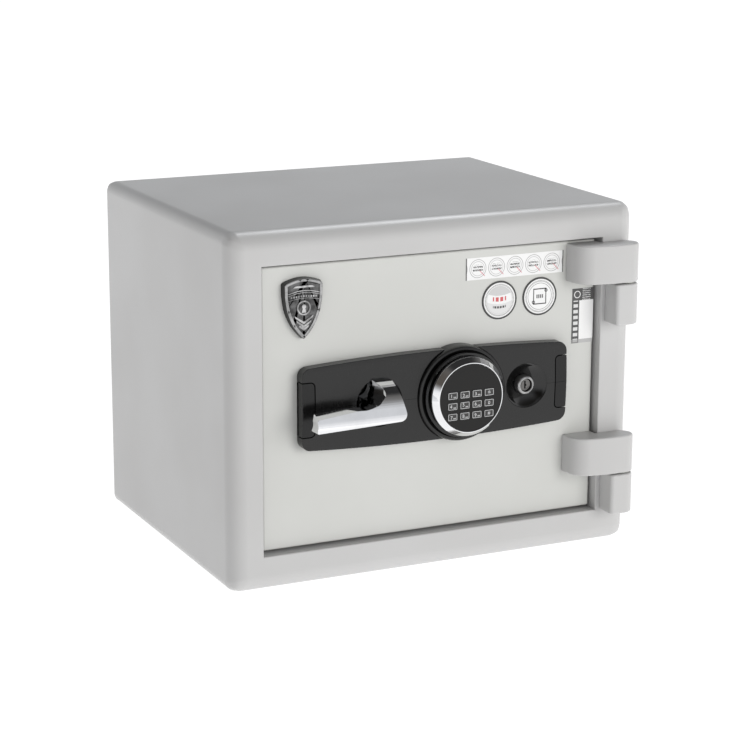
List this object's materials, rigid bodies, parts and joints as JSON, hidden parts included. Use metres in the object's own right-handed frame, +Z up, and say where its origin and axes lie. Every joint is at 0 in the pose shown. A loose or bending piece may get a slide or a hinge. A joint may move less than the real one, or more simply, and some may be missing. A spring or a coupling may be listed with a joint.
{
  "type": "fireproof document box",
  "caption": "Small free-standing fire-resistant safe with a hinged insulated door, a lever handle, a keypad in a round collar and a key lock.",
  "frame": {"origin": "centre of the underside of the cabinet", "axes": "+X to the right seen from the door, +Y towards the back, +Z up; the door faces -Y"},
  "size_m": [0.45, 0.386, 0.36],
  "materials": {
    "paint": "light warm grey powder coat, satin",
    "liner_paint": "mid grey paint, matt",
    "chrome": "bright chrome plating",
    "steel": "plain turned steel",
    "zinc_plate": "zinc-plated steel",
    "black_plastic": "black moulded plastic, satin",
    "gloss_face": "smooth black acrylic",
    "key_plastic": "black keys with a silver outline",
    "fire_filling": "light fireproof concrete",
    "seal": "black swelling fire seal",
    "board": "green circuit board"
  },
  "bodies": {
    "root": {"outer_shell": "paint", "rear_panel": "paint", "body_insulation": "fire_filling", "inner_liner": "liner_paint", "shelf": "liner_paint", "door_seal": "seal", "hinge_knuckle_upper": "paint", "hinge_knuckle_lower": "paint", "hinge_pin_upper": "steel", "hinge_pin_lower": "steel", "hinge_washer_upper": "zinc_plate", "hinge_washer_lower": "zinc_plate"},
    "door": {"door_skin": "paint", "door_insulation": "fire_filling", "door_inner_cover": "liner_paint", "plug_insulation": "fire_filling", "battery_case": "black_plastic", "battery_cover": "black_plastic", "hinge_leaf_upper": "paint", "hinge_leaf_lower": "paint", "handle_panel": "black_plastic", "handle_panel_end_cap": "black_plastic", "key_panel": "black_plastic", "key_panel_end_cap": "black_plastic", "keypad_collar": "black_plastic", "keypad_housing": "chrome", "keypad_bezel": "chrome", "keypad_face": "gloss_face", "circuit_board": "board", "key_cylinder": "chrome", "cylinder_nut": "zinc_plate", "handle_bush": "zinc_plate", "bolt_guide": "zinc_plate", "lock_plate": "zinc_plate", "hinge_side_studs": "steel", "solenoid": "steel", "shield_badge": "steel"},
    "lever": {"lever_handle": "chrome", "handle_spindle": "steel", "spindle_cam": "zinc_plate"},
    "boltwork": {"bolt_bar": "zinc_plate", "bolt_upper": "steel", "bolt_middle": "steel", "bolt_lower": "steel"},
    "key_plug": {"key_plug": "steel", "key_tongue": "zinc_plate"},
    "plunger": {"solenoid_plunger": "steel"},
    "key_r1_c1": {"key_r1_c1": "key_plastic"},
    "key_r1_c2": {"key_r1_c2": "key_plastic"},
    "key_r1_c3": {"key_r1_c3": "key_plastic"},
    "key_r1_c4": {"key_r1_c4": "key_plastic"},
    "key_r2_c1": {"key_r2_c1": "key_plastic"},
    "key_r2_c2": {"key_r2_c2": "key_plastic"},
    "key_r2_c3": {"key_r2_c3": "key_plastic"},
    "key_r2_c4": {"key_r2_c4": "key_plastic"},
    "key_r3_c1": {"key_r3_c1": "key_plastic"},
    "key_r3_c2": {"key_r3_c2": "key_plastic"},
    "key_r3_c3": {"key_r3_c3": "key_plastic"},
    "key_r3_c4": {"key_r3_c4": "key_plastic"}
  },
  "joints": [
    {"name": "door_hinge", "type": "hinge", "parent": "root", "child": "door", "pos_m": [0.2083, -0.187, 0.18], "axis": [0, 0, 1], "range_deg": [0, 110]},
    {"name": "lever_turn", "type": "hinge", "parent": "door", "child": "lever", "pos_m": [-0.0675, -0.175, 0.181], "axis": [0, 1, 0], "range_deg": [0, 50]},
    {"name": "bolt_slide", "type": "slide", "parent": "door", "child": "boltwork", "axis": [-1, 0, 0], "range_m": [0, 0.0212]},
    {"name": "key_turn", "type": "hinge", "parent": "door", "child": "key_plug", "pos_m": [0.0985, -0.175, 0.181], "axis": [0, 1, 0], "range_deg": [0, 90]},
    {"name": "plunger_lift", "type": "slide", "parent": "door", "child": "plunger", "axis": [0, 0, 1], "range_m": [0, 0.006]},
    {"name": "press_r1_c1", "type": "slide", "parent": "door", "child": "key_r1_c1", "axis": [0, 1, 0], "range_m": [0, 0.0008], "stiffness_N_per_m": 400, "springref_m": -0.0005},
    {"name": "press_r1_c2", "type": "slide", "parent": "door", "child": "key_r1_c2", "axis": [0, 1, 0], "range_m": [0, 0.0008], "stiffness_N_per_m": 400, "springref_m": -0.0005},
    {"name": "press_r1_c3", "type": "slide", "parent": "door", "child": "key_r1_c3", "axis": [0, 1, 0], "range_m": [0, 0.0008], "stiffness_N_per_m": 400, "springref_m": -0.0005},
    {"name": "press_r1_c4", "type": "slide", "parent": "door", "child": "key_r1_c4", "axis": [0, 1, 0], "range_m": [0, 0.0008], "stiffness_N_per_m": 400, "springref_m": -0.0005},
    {"name": "press_r2_c1", "type": "slide", "parent": "door", "child": "key_r2_c1", "axis": [0, 1, 0], "range_m": [0, 0.0008], "stiffness_N_per_m": 400, "springref_m": -0.0005},
    {"name": "press_r2_c2", "type": "slide", "parent": "door", "child": "key_r2_c2", "axis": [0, 1, 0], "range_m": [0, 0.0008], "stiffness_N_per_m": 400, "springref_m": -0.0005},
    {"name": "press_r2_c3", "type": "slide", "parent": "door", "child": "key_r2_c3", "axis": [0, 1, 0], "range_m": [0, 0.0008], "stiffness_N_per_m": 400, "springref_m": -0.0005},
    {"name": "press_r2_c4", "type": "slide", "parent": "door", "child": "key_r2_c4", "axis": [0, 1, 0], "range_m": [0, 0.0008], "stiffness_N_per_m": 400, "springref_m": -0.0005},
    {"name": "press_r3_c1", "type": "slide", "parent": "door", "child": "key_r3_c1", "axis": [0, 1, 0], "range_m": [0, 0.0008], "stiffness_N_per_m": 400, "springref_m": -0.0005},
    {"name": "press_r3_c2", "type": "slide", "parent": "door", "child": "key_r3_c2", "axis": [0, 1, 0], "range_m": [0, 0.0008], "stiffness_N_per_m": 400, "springref_m": -0.0005},
    {"name": "press_r3_c3", "type": "slide", "parent": "door", "child": "key_r3_c3", "axis": [0, 1, 0], "range_m": [0, 0.0008], "stiffness_N_per_m": 400, "springref_m": -0.0005},
    {"name": "press_r3_c4", "type": "slide", "parent": "door", "child": "key_r3_c4", "axis": [0, 1, 0], "range_m": [0, 0.0008], "stiffness_N_per_m": 400, "springref_m": -0.0005}
  ],
  "couplings": [
    {"joint": "bolt_slide", "follows": "lever_turn", "m_per_rad": 0.02421}
  ]
}
